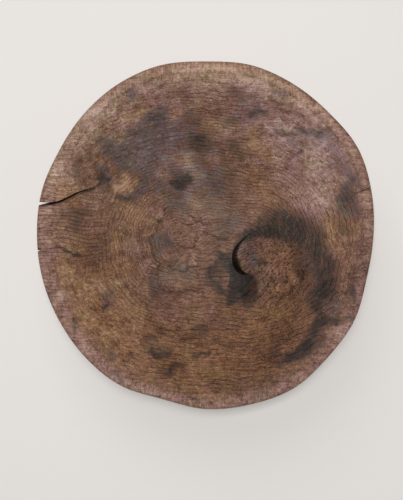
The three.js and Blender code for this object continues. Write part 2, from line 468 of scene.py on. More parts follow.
SLATE_STAINS = [
    (80, [6, 7], (-42, 114), (-50, 106)),
    (80, [10, 12, 12], (-60, 94), (-52, 92), (-40, 90)),
    (70, [11, 11, 9], (-66, 84), (-76, 76), (-70, 68)),
    (50, [7, 8], (-92, 84), (-82, 76)),
    (65, [11, 10, 7, 6], (-50, 80), (-54, 68), (-60, 58), (-60, 48)),
    (60, [9, 9, 7], (-40, 100), (-28, 96), (-22, 86)),
    (40, 9, (-36, 74), (-28, 64)),
    (40, [8, 7], (-42, 46), (-28, 44)),
    (50, [7, 7, 8], (-8, 76), (-6, 60), (-10, 48)),
    (40, 8, (-44, -36), (-38, -46)),
    (45, [6, 7], (-20, 104), (-14, 102)),
    (70, 4, (-70, 131), (-66, 128)),
    (70, 5, (-97, 62), (-91, 54)),
    (65, [5, 6, 4], (-77, 37), (-67, 37), (-60, 44)),
    (50, 4, (-114, 23), (-108, 25)),
    (50, 6, (-36, 2), (-34, -8)),
    (50, [9, 9, 8], (-34, 32), (-22, 28), (-24, 44)),
    (40, [12, 12, 10], (6, 30), (20, 18), (14, 2)),
    (60, 6, (-48, -4), (-46, -14)),
    (50, [7, 8], (-32, -28), (-18, -34)),
    (50, 5, (-50, -42), (-48, -52)),
    (50, 8, (2, 62), (14, 60)),
    (40, 7, (2, 82), (14, 82)),
    (40, [7, 6], (44, -6), (32, -12)),
    (40, [8, 7], (24, 10), (36, 12)),
    (40, 6, (132, 30), (134, 20)),
    (20, 7, (102, 66), (108, 60)),
    (40, 8, (86, 88), (98, 86)),
    (60, 6, (-30, 63), (-18, 60)),
    (50, 6, (-52, 54), (-44, 50)),
    (30, 7, (-102, -12), (-100, -22)),
    (40, 6, (106, 2), (108, -8)),
    (50, [8, 7], (4, 50), (16, 46)),
    (50, [5, 6, 6], (44, 126), (48, 113), (34, 114)),
    (50, 2, (62, 131), (74, 129)),
    (50, 4, (68, 98), (78, 90)),
    (60, [4, 4, 3], (88, 96), (102, 93), (114, 92)),
    (45, [6, 7, 7, 6], (114, 84), (120, 74), (126, 62), (132, 48)),
    (60, [8, 7], (128, 38), (128, 26)),
    (50, 8, (94, -6), (98, -20)),
    (60, [9, 9, 8], (110, -22), (108, -44), (102, -60)),
    (50, [7, 6, 6, 6], (106, -76), (98, -90), (86, -106), (78, -110)),
    (50, [7, 6], (112, -56), (116, -66)),
    (40, 7, (90, 21), (98, 15)),
    (30, 6, (38, -20), (50, -34), (54, -48)),
    (50, 4, (120, -76), (132, -74)),
    (60, 3, (133, -48), (134, -60)),
    (50, [6, 5], (42, -14), (46, -24)),
    (50, 7, (12, -30), (6, -42)),
    (50, 5, (-90, -54), (-90, -64)),
    (35, 5, (-48, -106), (-34, -108)),
    (50, 3, (-82, -124), (-75, -131)),
    (40, 3, (-141, -46), (-141, -58)),
    (40, 3, (56, -142), (44, -145)),
]
OCHRE_STAINS = [
    (100, [4, 6, 5], (-87, 43), (-81, 46), (-73, 51)),
    (50, 7, (56, -82), (68, -82)),
    (40, 6, (-57, 16), (-56, 4)),
    (60, 5, (-68, 107), (-58, 114)),
    (40, 5, (-2, 100), (8, 98)),
    (60, 7, (-130, 42), (-124, 32)),
    (40, [8, 7], (-116, -4), (-106, -12)),
    (40, 4, (-104, 72), (-92, 70), (-84, 64)),
    (60, [14, 16, 14], (-112, -30), (-100, -60), (-80, -84)),
    (50, 8, (-74, 30), (-66, 12)),
    (90, 4, (-85, 0), (-86, -12)),
    (50, 5, (-34, 114), (-26, 112)),
    (60, 6, (-130, -26), (-126, -40)),
    (50, [8, 9, 8], (-112, -48), (-112, -68), (-104, -80)),
    (45, [8, 8, 6], (-96, -24), (-84, -40), (-74, -28)),
    (50, 8, (-94, -88), (-78, -94), (-66, -106)),
    (50, [6, 6, 5], (-78, -62), (-64, -74), (-52, -88)),
    (90, 5, (-26, -127), (-8, -129)),
    (60, 6, (-52, -118), (-20, -112)),
    (70, [9, 10, 9], (6, -124), (30, -122), (54, -116)),
    (50, [8, 9, 8], (8, -98), (34, -94), (56, -88)),
    (70, 4, (20, -70), (34, -70)),
    (60, 7, (56, -76), (74, -76)),
    (40, 8, (66, -48), (76, -56)),
    (50, [9, 10, 9], (70, -16), (76, -26), (80, -40)),
    (70, 6, (118, 12), (134, 8)),
    (40, [5, 6], (116, 10), (118, -4)),
    (60, [7, 7, 6], (44, 94), (52, 84), (60, 76)),
    (50, 9, (44, 60), (54, 44)),
    (30, [9, 8], (68, 40), (56, 26)),
    (40, 6, (-4, 118), (6, 104)),
    (40, 6, (-56, 36), (-46, 38)),
    (60, 4, (80, -119), (92, -119)),
]
ROSY_STAINS = [
    (70, 8, (38, 136), (54, 130), (64, 118)),
    (60, [9, 10, 9], (76, 116), (90, 108), (104, 96)),
    (60, [9, 11, 10], (70, 88), (90, 84), (106, 82)),
    (80, [11, 11, 12, 12, 10], (86, 40), (98, 30), (110, 44), (106, 62), (100, 74)),
    (60, 9, (78, 50), (82, 68)),
    (50, 9, (118, 70), (126, 54)),
    (60, [6, 5], (108, 26), (108, 14)),
    (50, 8, (-58, 134), (-42, 134)),
    (50, 7, (-40, 82), (-32, 76)),
    (40, 6, (-48, 72), (-44, 60)),
    (60, 4, (-24, 46), (-14, 45)),
    (50, 6, (-70, -8), (-62, -26)),
    (50, [6, 5], (-54, -24), (-50, -36)),
    (60, [4, 3], (-16, -20), (-12, -26)),
    (40, 8, (-16, 16), (-4, 8)),
    # Pinkish wood with a painted highlight, on the raised lump beside the crevice
    (80, [4, 5, 4], (35, -12), (38, -20), (42, -28)),
    (40, 6, (-130, 98), (-116, 96)),
    (40, 10, (-100, 110), (-80, 122)),
    (35, 7, (122, -44), (120, -62)),
    (30, 4, (112, -90), (116, -94)),
    (50, 7, (-44, 125), (-32, 122)),
    (40, 6, (114, 25), (119, 20)),
    (40, 7, (126, -26), (125, -38)),
    (40, 6, (10, 98), (20, 98)),
    (50, 7, (22, 131), (34, 128)),
    (40, 6, (30, 119), (40, 116)),
    (40, 6, (118, 14), (120, 4)),
    (30, 8, (-12, 137), (4, 137)),
    (40, 7, (-76, 108), (-66, 112)),
    (40, 7, (-22, 119), (-14, 116)),
]
VIOLET_STAINS = [
    (80, 6, (24, 132), (34, 128)),
    (90, [5, 6, 6], (22, 114), (34, 114), (48, 116)),
    (60, 8, (-20, 112), (-12, 104)),
    (50, 6, (-24, 92), (-18, 84)),
    (50, [8, 10, 9], (-44, 108), (-34, 98), (-36, 88)),
    (60, 7, (70, 88), (82, 86)),
    (40, [9, 8], (-40, 70), (-30, 66)),
    (50, 8, (60, 104), (80, 96)),
    (50, 8, (98, 88), (112, 76)),
    (50, 7, (-56, 134), (-42, 132)),
    (70, [5, 4], (-24, 46), (-12, 45)),
    (80, 6, (84, 72), (84, 56)),
    (60, [8, 9], (76, 104), (96, 102)),
    (60, [7, 8, 7], (116, 82), (124, 70), (130, 54)),
    (50, [6, 5], (136, 34), (138, 18)),
    (90, 8, (86, 14), (92, 4)),
    (60, 3, (62, 131), (74, 129)),
    (40, 4, (42, 148), (44, 142)),
    (50, [7, 6], (40, -14), (46, -24)),
    (50, 6, (-56, -4), (-56, -24), (-52, -38)),
    (50, [5, 6], (-54, -92), (-44, -64)),
    (60, 6, (-112, -22), (-104, -30)),
    (50, [4, 5], (-150, 10), (-149, -18)),
    (50, [4, 4, 7], (62, -96), (72, -98), (66, -112)),
    (50, 8, (108, -30), (106, -52)),
    (50, [9, 8], (100, 40), (112, 60)),
    (50, 6, (-10, 66), (6, 66)),
    (60, 7, (44, 108), (54, 106)),
    (60, 7, (26, 124), (35, 120)),
    (60, 7, (16, 88), (28, 88)),
    (60, 7, (92, 23), (100, 23)),
    (40, [6, 7], (128, 46), (120, 36)),
    (50, 8, (-64, 98), (-54, 98)),
    (80, 8, (-46, 122), (-34, 118)),
]
OLIVE_STAINS = [
    (50, [8, 9], (-12, 90), (0, 90)),
    (70, [7, 6], (30, 86), (34, 74)),
    (50, 7, (-57, 16), (-56, 4)),
    (20, 8, (44, 92), (54, 80)),
    (50, 7, (-118, -28), (-116, -42)),
    (50, 7, (-58, -80), (-50, -88)),
    (60, [5, 4], (20, 107), (30, 107)),
    (50, 7, (-18, 74), (-10, 64)),
    (60, 7, (-100, 88), (-88, 84)),
    (50, 7, (-84, 86), (-76, 74)),
    (50, 9, (-34, 34), (-18, 30), (-8, 40)),
    (60, [12, 12, 10], (6, 34), (20, 20), (16, 4)),
    (70, 8, (54, 14), (72, 20)),
    (80, 6, (16, -16), (22, -26)),
    (90, [9, 9, 8], (36, -42), (32, -56), (44, -58)),
    (60, [6, 8], (54, -26), (56, -44)),
    (60, [7, 6], (-48, -6), (-46, -16)),
    (60, [8, 9], (-32, -28), (-12, -36)),
    (60, 7, (-92, -56), (-86, -46)),
    (50, 8, (-78, -30), (-66, -72)),
    (50, 6, (-50, -104), (-34, -108)),
    (60, 7, (128, 36), (127, 28)),
    (50, 6, (-96, -94), (-88, -100)),
    (50, 8, (60, -72), (76, -76)),
]
# Bands that make the wood lighter or darker without changing its colour: bleached wood with a few painted
# highlights, and deepened wood with painted shade deep in the crevice and the hollow
BLEACHED_AND_HIGHLIT = [
    (60, [8, 9, 8], (-30, 148), (0, 150), (30, 147)),
    (20, 7, (-60, 132), (-42, 134)),
    (40, [9, 8], (50, 34), (56, 40)),
    (30, [10, 8], (-20, -114), (0, -118)),
    (50, [9, 8], (-104, 108), (-90, 120)),
    (50, 6, (36, 138), (56, 134)),
    (50, 4, (88, 118), (98, 116)),
    # Painted highlight: thin pale streaks on the upper right wall
    (80, 2, (70, 90), (84, 89), (102, 88)),
    (40, [6, 5], (98, 92), (106, 90)),
    (40, 7, (-38, 80), (-36, 62)),
    (30, 7, (-28, 6), (-18, 4)),
    (50, 3, (66, 72), (70, 69)),
    (40, 6, (97, 76), (102, 66)),
    # Painted highlight: a thin pale streak on the right wall
    (70, 2, (119, 52), (127, 50)),
    (50, 6, (64, 101), (76, 98)),
    (40, 6, (118, -4), (120, -12)),
    (40, [6, 5], (104, 41), (109, 35)),
    (40, 6, (-62, 108), (-70, 112)),
    (30, 7, (-118, -30), (-116, -40)),
    (50, 6, (46, 88), (54, 82)),
    (80, [5, 6, 5], (-20, 74), (-12, 64), (-4, 61)),
    (100, [4, 5], (-82, 46), (-75, 50)),
    (40, 8, (-134, 62), (-132, 44)),
    (40, 7, (-74, 30), (-66, 14)),
    (80, 3, (-131, -50), (-126, -58)),
    (40, 6, (-130, -28), (-126, -40)),
    (70, 7, (-104, -48), (-86, -47)),
    (50, [5, 4, 3], (-76, -60), (-62, -76), (-52, -88)),
    (40, 8, (-114, -56), (-108, -74)),
    (50, 3, (-111, -90), (-108, -100)),
    (20, 4, (106, -86), (114, -94)),
    (40, [12, 12, 10], (-108, -66), (-92, -86), (-72, -96)),
    (40, 3, (142, 40), (145, 26)),
    (30, 5, (96, 68), (100, 63)),
    (30, 6, (-16, 38), (-8, 36)),
    (35, 4, (-138, 4), (-137, -4)),
    (35, 5, (82, 23), (88, 19)),
    (35, [5, 6, 6], (-50, 30), (-44, 28), (-44, 12)),
    (35, 6, (-84, -62), (-78, -68)),
    (50, 4, (-4, -144), (10, -148)),
]
DEEPENED_AND_SHADED = [
    (50, 7, (52, -4), (52, -14)),
    (50, 6, (106, 4), (108, -6)),
    (70, 6, (-52, -80), (-46, -88)),
    (40, 6, (10, -34), (14, -42)),
    (60, 6, (-42, 127), (-34, 124)),
    (50, 7, (-38, -53), (-30, -56)),
    (60, 6, (-106, 50), (-98, 56)),
    (40, 7, (4, 42), (12, 42)),
    (50, 6, (-64, -6), (-63, -20)),
    (50, 7, (-34, -90), (-22, -90)),
    (50, 6, (-104, 80), (-98, 76)),
    (50, 5, (38, -20), (42, -28)),
    (40, 7, (-102, -12), (-100, -22)),
    (40, 7, (92, -34), (90, -46)),
    (40, 7, (126, -26), (125, -38)),
    (30, 6, (86, 22), (94, 20)),
    (40, 5, (-122, 31), (-116, 26)),
    (40, [8, 7], (28, 33), (32, 26)),
    (40, 6, (-113, 68), (-110, 62)),
    (40, [5, 6], (-136, 27), (-132, 12)),
    (40, 6, (22, 125), (32, 122)),
    (40, 7, (-88, 68), (-80, 62)),
    (40, 6, (128, 4), (130, -6)),
    (50, 7, (60, 117), (70, 112)),
    (50, [7, 6], (118, 62), (123, 50)),
    (50, [7, 6], (-62, 122), (-50, 125)),
    (50, 6, (-98, -68), (-92, -78)),
    (50, 6, (0, 118), (8, 115)),
    # Painted shade deep in the crevice and the hollow below it
    (100, [4, 5, 4], (28, -28), (33, -36), (41, -39)),
    (80, 7, (35, -43), (38, -50)),
    (30, 12, (-34, 30), (-36, 4), (-36, -24)),
    (30, 12, (-10, 6), (8, -6), (8, -30)),
    (30, 12, (-8, -44), (18, -66)),
    (30, 10, (66, 66), (90, 66)),
    (30, 8, (110, -96), (96, -112)),
    (50, [10, 12, 10], (62, -2), (78, -16), (84, -34)),
    (40, [10, 12, 10], (60, -30), (66, -50), (82, -60)),
    (40, [9, 10, 10], (122, -8), (124, -34), (120, -58)),
    (50, [6, 7, 6], (142, -8), (140, -36), (132, -64)),
    (40, 12, (60, -108), (80, -90)),
    (30, [9, 10], (24, 70), (28, 46)),
    (30, [7, 9], (-26, 120), (-8, 104)),
    (30, 9, (-120, 14), (-104, 6)),
    (30, [10, 8], (-108, -14), (-104, -26)),
    (30, 9, (-52, -60), (-34, -72)),
    (40, [8, 7], (132, 36), (136, 20)),
    (30, 8, (-30, -120), (-26, -122)),
    (30, 9, (-10, -92), (10, -86)),
    (30, 8, (14, -54), (30, -62)),
    (40, 6, (74, 44), (77, 36)),
    (35, 5, (90, 52), (95, 47)),
    (40, 6, (-54, -24), (-52, -32)),
    (35, 6, (-80, -102), (-74, -106)),
    (35, 6, (-30, 127), (-20, 128)),
    (35, 7, (47, -61), (54, -64)),
    (35, 6, (42, -129), (52, -127)),
    (40, 5, (106, 77), (111, 70)),
    (35, 5, (28, 134), (35, 133)),
    (30, 6, (54, 97), (62, 94)),
]
# Worn wood, where the growth lines are faint and the mottling is strong
WORN = [
    (60, [20, 26, 22], (-110, 56), (-84, 84), (-40, 108)),
    (60, [20, 24, 20], (56, 114), (98, 86), (112, 50)),
    (60, [18, 22, 18], (-116, -36), (-100, -68), (-72, -98)),
]
# Distinct dark lines of the burl, each through points on plan
SEAMS = [
    [
        (-37, 28), (-42, 18), (-48, 11), (-52, 0), (-53, -9),
        (-51, -17), (-46, -23), (-44, -31), (-44, -43), (-43, -55),
    ],
    [(-42, -53), (-31, -54), (-20, -52), (-8, -54)],
    [(-17, 26), (-11, 20), (-7, 15), (5, 13)],
    [(-36, -28), (-31, -33), (-20, -32), (-12, -27)],
    [(-27, -2), (-23, -8), (-14, -10), (-8, -5), (-12, 1)],
    [(0, 3), (8, -2), (22, -3)],
]
# Full strength up to this share of a band's radius, fading out as far past it
STAIN_EDGE = 0.1
# How far noise shifts the stains, with its size and its seeds for X and Y
STAIN_DRIFTS = [(4, 14, (6, 7)), (2.5, 5, (9, 10))]
# How much the bleached and the deepened bands, with their painted highlights and painted shade, change the
# tone
STAIN_TONE = 0.3

# How much lighter or darker the lip and the wall below it are, every 30 degrees from +X
LIP_TONES = [-0.1, 0.06, 0.15, 0.13, 0.1, 0.09, -0.03, -0.02, -0.02, -0.07, -0.12, -0.07]
WALL_TONES = [0.12, 0.19, 0.13, 0.18, 0.17, 0.15, 0.13, -0.02, 0, -0.1, -0.13, -0.06]
# Painted light and shade: how much lighter or darker the lip is towards its rounded outer edge; and how
# far out its wood starts, every 45 degrees
LIP_OUTER_LIGHT_AND_SHADE = [0.12, -0.1, -0.08, -0.05, 0.06, 0.14, 0.14, 0.2]
LIP_STARTS = [1, -4, -2, -1, 0, 4, 7, 7]
# The outer edge comes between these shares of the lip's width
LIP_OUTER = (0.3, 1)
# How pink or how yellow-brown the lip and the wall are, every 45 degrees
LIP_PINKS = [0.6, 0.5, 0.3, 0.6, 0.6, 0.7, 0.7, 0.7]
LIP_OCHRES = [0.1, 0.2, 0.4, 0.1, 0.2, 0.1, 0.1, 0.1]
WALL_PINKS = [0.1, 0.7, 0.2, 0.1, 0, 0, 0, 0.1]
WALL_OCHRES = [0.2, 0, 0.1, 0.1, 0.2, 0.4, 0.6, 0.5]
# The wall's tone fades inwards between these shares of the inner radius
WALL_TONE_FADE = (0.4, 0.85)
# How clear the thin lighter line along the edge between the lip and the wall is, every 45 degrees
EDGE_CLEARNESS = [0.5, 0.8, 0.1, 0.2, 0.6, 0.7, 0.4, 0.4]
EDGE_WIDTH = 1.4
# How clear the lines across the lip are, every 45 degrees
LIP_LINES = [0.3, 0.3, 0.4, 0.7, 1, 0.6, 0.4, 0.3]

# Growth layers of the tree, which the carving lays bare: they run round a line across the floor,
# bend round the knot, and curl in the burl. On the lip they show as lines across it.
LAYER_LINE = (np.array([-26, 4]), np.array([48, 0]))
LAYER_TILT = 0.12
KNOT_LAYER_RADIUS = 46
KNOT_LAYER_HEIGHT = 16
KNOT_HEART = np.array([78, -22])
KNOT_HEART_RADIUS = 26
KNOT_HEART_HEIGHT = 8
# The heart hides this share of the growth lines
KNOT_HEART_HIDES = 0.6
KNOT_DOTS_RADIUS = 52
BURL_MIDDLE = np.array([-24, -8])
BURL_RADIUS = 74
# How far curls and wobbles shift the layers, with the size and the seed of their noise
CURLS = (15, 22, 3)
FINE_CURLS = (3, 9, 4)
WOBBLE = (7, 50, 5)
LIP_WOBBLE = (5, 30, 8)
# The fine curls keep this share of their height outside the burl
FINE_CURLS_OUTSIDE = 0.35
# The lip's lines turn from along X to along Y between these cosines of the direction
LIP_SIDES = (0.6, 0.8)
# The left wall shows the same lines as the lip beside it, out from this far left
LEFT_WALL = (88, 102)
LEFT_WALL_MIDDLE = 12
LEFT_WALL_HALF = (32, 54)
SEAM_WIDTH = 1.4
# The lip's wood starts and ends at these distances from its inner edge
LIP_BLEND = (-8, 4)
# Down the outside, the lip's wood and the painted inside end between these depths below the lip
LIP_FADE = (5, 14)
INSIDE_FADE = (2, 22)
# The outside starts this far in from the outline, and this far below the crevice
OUTSIDE_EDGE = 3
OUTSIDE_DEPTH = 4
# The crevice gets painted shade between these depths below the floor
CREVICE_DARK = (3, 10)
# The inside of the cracks gets painted shade up to this far from their middle line
SPLIT_DARK = 1.6
CHECK_DARK = 1.2
# How dark the painted shade is
SPLIT_SHADE = 0.6
CHECK_SHADE = 0.4
CREVICE_SHADE = 0.6

# Sizes of the figure in millimetres
RING_SPACING = 3.6
STREAK_WIDTH = 1.1
STREAK_LENGTH = 22
PORE_WIDTH = 0.8
PORE_LENGTH = 5
# Noises of the wood: size, detail and roughness
CLOUDY = (34, 3, 0.6)
HUE = (17, 4, 0.65)
MOTTLE = (9, 4, 0.65)
SPECKLE = (3, 2, 0.6)
GRIT = (1.4, 2, 0.7)
DOTS = (2.6, 1)
RING_POWER = (6, 3, 0.7)
WRINKLES = (1, 3, 0.6)
FIBRE_ROUGHNESS = 0.6
# The wrinkles are stretched to these sizes along X, Y and Z
WRINKLE_SIZES = (9, 3.5, 3.5)
# The hue's noise is moved away from the others
HUE_SHIFT = (97, 31, 53)
# How far the growth lines waver in millimetres, and how far their spacing drifts in layers
WAVER = 3.4
WAVER_SIZE = 12
WAVER_GRIT = 1
SPACING_DRIFT = 2.2
SPACING_DRIFT_SIZE = 26
# A dark line comes and goes between these shares of its layer
LINE_COMES = (0.62, 0.84)
LINE_GOES = (0.84, 0.94)
# Between the first two values of a noise, their strength runs from the third to the fourth value
RING_POWER_RUN = (0.38, 0.6, 0.1, 1)
# On the lip this share of it is even, of this strength
LIP_RING_EVEN = 0.6
LIP_RING_POWER = 0.8
# How light the wood is, and how much each part of its figure changes that
MIDDLE_TONE = 0.55
TONE_SWINGS = {"streaks": 1, "mottle": 0.75, "speckle": 0.6, "grit": 0.85, "cloudy": 0.3}
WRINKLE_TONE = 1.4
RING_TONE = -0.42
SEAM_TONE = -0.24
EDGE_TONE = 0.12
# How much the figure breaks up the stains, and the strength at which they cover the wood
RAGGED_SWINGS = {"mottle": 3.4, "speckle": 1.4, "streaks": 1.6, "grit": 1}
SOAKED = 0.9
# Tints, pale flecks of painted sheen, pores and dots of the knot come between these values of their noises
VIOLET_HUES = (0.52, 0.66)
OLIVE_HUES = (0.48, 0.34)
FLECK_RUN = (0.62, 0.72)
PORE_RUN = (0.42, 0.34)
DOT_RUN = (0.57, 0.66)
# How the figure breaks up the sheen flecks, how strong they all are, and how fully dots cover the knot
FLECK_SWINGS = {"grit": 0.3, "hue": 0.3}
FLECK_POWER = 0.4
PORE_POWER = 0.25
DOT_POWER = 0.7
DOT_COVER = 2
# Height of the relief in millimetres, its strength, and the share of each part of the figure
RELIEF = 0.6
RELIEF_POWER = 0.9
RELIEF_SWINGS = {"streaks": 0.7, "grit": 0.4, "mottle": 0.5}
RING_RELIEF = -0.25
SPECK_RELIEF = -0.4
# How rough and how glossy the wood is
ROUGHNESS = (0.5, 0.8)
GLOSS = 0.25


def from_line(xy, first, last):
    """Nearest place of each point on a straight line, as a share of it, and the distance to it."""
    along = last - first
    share = np.clip((xy - first) @ along / (along @ along), 0, 1)
    return share, np.linalg.norm(xy - first - share[:, None] * along, axis=1)


def band_strength(xy, radii, places):
    """Nearness of each point to a band through places: 1 inside it, fading out past its edge."""
    places = np.array(places, float)
    radii = np.broadcast_to(radii, len(places))
    result = np.zeros(len(xy))
    for start, end, radius, last_radius in zip(places, places[1:], radii, radii[1:]):
        share, reach = from_line(xy, start, end)
        reach /= lerp(radius, last_radius, share)
        result = np.maximum(result, 1 - smoothstep(STAIN_EDGE, 2 - STAIN_EDGE, reach))
    return result


def stain(xy, bands):
    """Strength of one kind of stain at each point, from all of its bands."""
    clear = np.ones(len(xy))
    for strength, radii, *places in bands:
        clear *= 1 - strength / 100 * band_strength(xy, radii, places)
    return 1 - clear


def shifts(points, reach, size, seed):
    return reach * cloud(points, size, seed)


def growth_layer(points):
    """Place of each point across the growth layers, in millimetres."""
    xy = points[:, :2]
    _, layer = from_line(xy, *LAYER_LINE)
    layer += LAYER_TILT * (points[:, 2] + points[:, 1])
    layer += KNOT_LAYER_HEIGHT * swell(xy, KNOT_MIDDLE, KNOT_LAYER_RADIUS)
    layer += KNOT_HEART_HEIGHT * swell(xy, KNOT_HEART, KNOT_HEART_RADIUS)
    burl = swell(xy, BURL_MIDDLE, BURL_RADIUS)
    layer += burl * shifts(points, *CURLS)
    layer += lerp(FINE_CURLS_OUTSIDE, 1, burl) * shifts(points, *FINE_CURLS)
    return layer + shifts(points, *WOBBLE)


def lip_layer(points, angle):
    """Place of each point along the lines that cross the lip, in millimetres."""
    side = smoothstep(*LIP_SIDES, np.abs(np.cos(angle)))
    return lerp(points[:, 0], points[:, 1], side) + shifts(points, *LIP_WOBBLE)


def store(mesh, name, columns):
    """Keeps four values at each vertex, for the material to read."""
    attribute = mesh.color_attributes.new(name, "FLOAT_COLOR", "POINT")
    attribute.data.foreach_set("color", np.column_stack(columns).ravel())


def near_cut(points, plan, reach):
    """1 beside a cut that runs along points on plan, fading to 0 at the reach."""
    gap = np.min(np.linalg.norm(points[:, None, :2] - plan[None], axis=2), axis=1)
    return 1 - smoothstep(reach / 2, reach, gap)


def paint(mesh):
    """Works out the stains, the painted light and shade, the growth layers and the parts of the bowl at
    each vertex.
    """
    points = np.empty(len(mesh.vertices) * 3)
    mesh.vertices.foreach_get("co", points)
    points = points.reshape(-1, 3) / MM
    plan = points[:, :2]
    xy = plan
    for reach, size, seeds in STAIN_DRIFTS:
        xy = xy + np.column_stack([shifts(points, reach, size, seed) for seed in seeds])
    angle = np.arctan2(points[:, 1], points[:, 0])
    radius = np.linalg.norm(plan, axis=1)
    within = radius - inner_radius(angle)
    below_lip = rim_height(angle) - LIP_ROUNDING - points[:, 2]

    # 1 on the inside and the lip, fading out down the outside
    depth = inside_height(plan) - points[:, 2]
    fade = 1 - smoothstep(*INSIDE_FADE, below_lip)
    outside = radius > rim_radius(angle) - OUTSIDE_EDGE
    inside = np.where(outside, fade, depth < CREVICE_DEPTH + OUTSIDE_DEPTH)

    # The lip, the lighter line along its inner edge, and the wood below it
    lip = smoothstep(*LIP_BLEND, within - around(LIP_STARTS)(angle))
    lip *= 1 - smoothstep(*LIP_FADE, below_lip)
    edge = around(EDGE_CLEARNESS)(angle) * (1 - smoothstep(0, EDGE_WIDTH, np.abs(within))) * inside
    outer = smoothstep(*LIP_OUTER, within / lip_width(angle))
    outwards = smoothstep(*WALL_TONE_FADE, radius / inner_radius(angle))
    # The lip's outer edge gets painted light and shade
    lip_tone = around(LIP_TONES)(angle) + around(LIP_OUTER_LIGHT_AND_SHADE)(angle) * outer
    tone = lerp(around(WALL_TONES)(angle), lip_tone, lip) * outwards * inside
    # Bleached and deepened wood, with a few painted highlights and painted shade in the crevice and the
    # hollow
    tone += STAIN_TONE * (stain(xy, BLEACHED_AND_HIGHLIT) - stain(xy, DEEPENED_AND_SHADED)) * inside
    ochre = lerp(around(WALL_OCHRES)(angle), around(LIP_OCHRES)(angle), lip) * outwards
    rosy = lerp(around(WALL_PINKS)(angle), around(LIP_PINKS)(angle), lip) * outwards

    # Where the lines cross the lip and the left wall, and how clear the growth lines are
    wall = smoothstep(*LEFT_WALL, -points[:, 0])
    wall *= 1 - smoothstep(*LEFT_WALL_HALF, np.abs(points[:, 1] - LEFT_WALL_MIDDLE))
    crossing = np.maximum(lip, wall)
    lines = 1 - KNOT_HEART_HIDES * swell(plan, KNOT_HEART, KNOT_LAYER_RADIUS)
    worn = stain(xy, WORN) * inside
    lines = lerp(lines, around(LIP_LINES)(angle), crossing) * (1 - worn)

    # Painted shade in the cracks and the crevice, the knot, and dark lines of the burl
    split = near_cut(points, rim_route(SPLIT["route"]), SPLIT_DARK)
    check = near_cut(points, rim_route(CHECK["route"]), CHECK_DARK)
    shaded_crevice = smoothstep(*CREVICE_DARK, depth) * inside
    shaded_crevice *= near_cut(points, crevice_route(), 2 * CREVICE_WIDTH)
    shaded_cracks = np.max([SPLIT_SHADE * split, CHECK_SHADE * check, CREVICE_SHADE * shaded_crevice], axis=0)
    knot = swell(plan, KNOT_MIDDLE, KNOT_DOTS_RADIUS)
    seams = [near_cut(xy, smooth_route(route), SEAM_WIDTH) for route in SEAMS]
    seams = np.max(seams, axis=0) * inside

    washes = (0, 0, ochre, rosy)
    kinds = (DARK_STAINS, SLATE_STAINS, OCHRE_STAINS, ROSY_STAINS)
    stains = [1 - (1 - stain(xy, bands)) * (1 - wash) for bands, wash in zip(kinds, washes)]
    store(mesh, "stains", [strength * inside for strength in stains])
    tints = [stain(xy, bands) * inside for bands in (VIOLET_STAINS, OLIVE_STAINS)]
    store(mesh, "tints", [*tints, tone, edge])
    store(mesh, "form", [growth_layer(points), lip_layer(points, angle), crossing, lines])
    store(mesh, "part", [worn, shaded_cracks, knot, seams])


class Shading:
    """One node material under construction."""

    def __init__(self, name):
        self.material = bpy.data.materials.new(name)
        self.material.use_nodes = True
        self.tree = self.material.node_tree
        self.surface = self.tree.nodes["Principled BSDF"]

    def node(self, kind, inputs, **settings):
        """Adds a node with its settings, and gives each named input a value or a link."""
        made = self.tree.nodes.new("ShaderNode" + kind)
        for key, value in settings.items():
            setattr(made, key, value)
        self.give(made, inputs)
        return made

    def give(self, node, inputs):
        for key, value in inputs.items():
            if isinstance(value, bpy.types.NodeSocket):
                self.tree.links.new(value, node.inputs[key])
            else:
                node.inputs[key].default_value = value

    def attribute(self, name):
        """The four values of a stored attribute."""
        made = self.node("Attribute", {}, attribute_name=name)
        colours = self.node("SeparateColor", {"Color": made.outputs["Color"]}).outputs
        return *colours, made.outputs["Alpha"]

    def math(self, operation, *values):
        return self.node("Math", dict(enumerate(values)), operation=operation).outputs[0]

    def add(self, *values):
        total = values[0]
        for value in values[1:]:
            total = self.math("ADD", total, value)
        return total

    def times(self, first, second):
        return self.math("MULTIPLY", first, second)

    def swing(self, value, amount):
        """A value between 0 and 1, made to swing about 0 by the amount."""
        return self.times(self.math("SUBTRACT", value, 0.5), amount)

    def swings(self, figure, amounts):
        """Parts of the figure added up, each made to swing by its amount."""
        return self.add(*(self.swing(figure[name], amount) for name, amount in amounts.items()))

    def mix(self, share, first, second):
        """A value that goes from the first to the second with the share."""
        return self.node("Mix", {0: share, 2: first, 3: second}, data_type="FLOAT").outputs[0]

    def vector(self, operation, place, change):
        return self.node("VectorMath", {0: place, 1: change}, operation=operation).outputs[0]

    def noise(self, place, size, detail=2, roughness=0.5):
        """Smooth noise between about 0.3 and 0.7, with lumps of a size."""
        inputs = {"Vector": place, "Scale": 1 / size, "Detail": detail, "Roughness": roughness}
        return self.node("TexNoise", inputs).outputs["Fac"]

    def stretch(self, value, low, high, start=0, end=1):
        """Start up to low, end from high on, and smoothly between them."""
        inputs = {"Value": value, "From Min": low, "From Max": high, "To Min": start, "To Max": end}
        return self.node("MapRange", inputs, interpolation_type="SMOOTHSTEP").outputs[0]

    def ramp(self, value, stops):
        """A colour that runs through stops of (place, colour)."""
        made = self.node("ValToRGB", {"Fac": value})
        elements = made.color_ramp.elements
        while len(elements) < len(stops):
            elements.new(1)
        for element, (place, shade) in zip(elements, stops):
            element.position = place
            element.color = shade
        return made.outputs["Color"]

    def blend(self, share, first, second, kind="MIX"):
        made = self.node("Mix", {0: share, 6: first, 7: second}, data_type="RGBA", blend_type=kind)
        return made.outputs[2]


def colour(*parts):
    """Linear colour of a screen colour given from 0 to 255."""
    return *Color([part / 255 for part in parts]).from_srgb_to_scene_linear(), 1


